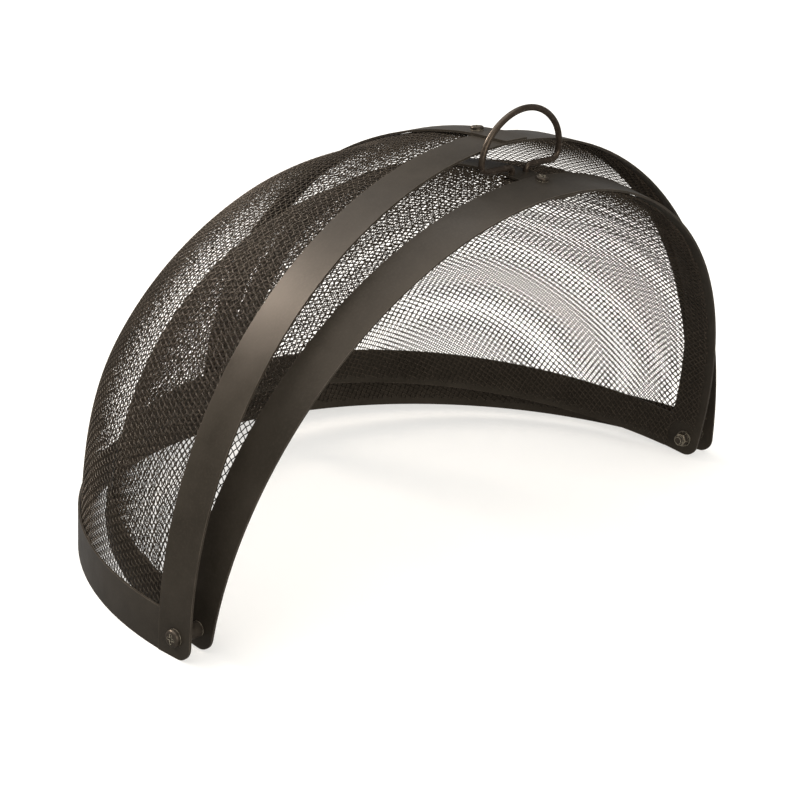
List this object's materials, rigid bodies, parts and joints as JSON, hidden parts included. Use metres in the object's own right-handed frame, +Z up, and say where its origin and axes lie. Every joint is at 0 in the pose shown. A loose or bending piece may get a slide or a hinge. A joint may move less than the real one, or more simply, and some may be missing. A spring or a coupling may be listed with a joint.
{
  "type": "fire pit spark screen",
  "caption": "Pivoting mesh spark screen for a round fire pit: two nested quarter domes of woven wire on strap hoops, with a ring handle.",
  "frame": {"origin": "centre of the whole screen's footprint box, on the surface that it stands on", "axes": "+X along the pivot axis to the right, +Y to the closed back, away from the lift hoop's opening, +Z up"},
  "size_m": [0.772, 0.4688, 0.4349],
  "materials": {
    "strap": "satin",
    "wire_cloth": "satin",
    "fastener": "satin",
    "rod": "satin"
  },
  "bodies": {
    "outer_half": {"outer_arch_hoop": "strap", "outer_base_hoop": "strap", "outer_rib": "strap", "outer_mesh_left": "wire_cloth", "outer_mesh_right": "wire_cloth", "outer_rib_screws": "fastener", "outer_rib_washers": "fastener", "outer_rib_nuts": "fastener", "pivot_bolt_left": "fastener", "pivot_bolt_right": "fastener", "pivot_spacer_left": "fastener", "pivot_spacer_right": "fastener", "pivot_washer_left": "fastener", "pivot_washer_right": "fastener", "pivot_nut_left": "fastener", "pivot_nut_right": "fastener"},
    "inner_half": {"lift_hoop": "strap", "rear_hoop": "strap", "inner_rib": "strap", "inner_mesh_left": "wire_cloth", "inner_mesh_right": "wire_cloth", "inner_rib_screws": "fastener", "inner_rib_washers": "fastener", "inner_rib_nuts": "fastener", "ring_handle": "rod", "handle_washers": "fastener", "handle_nuts": "fastener"}
  },
  "joints": [
    {"name": "lift_pivot", "type": "hinge", "parent": "outer_half", "child": "inner_half", "pos_m": [0, -0.15207, 0.019], "axis": [1, 0, 0], "range_deg": [-0.4, 79.5]}
  ]
}
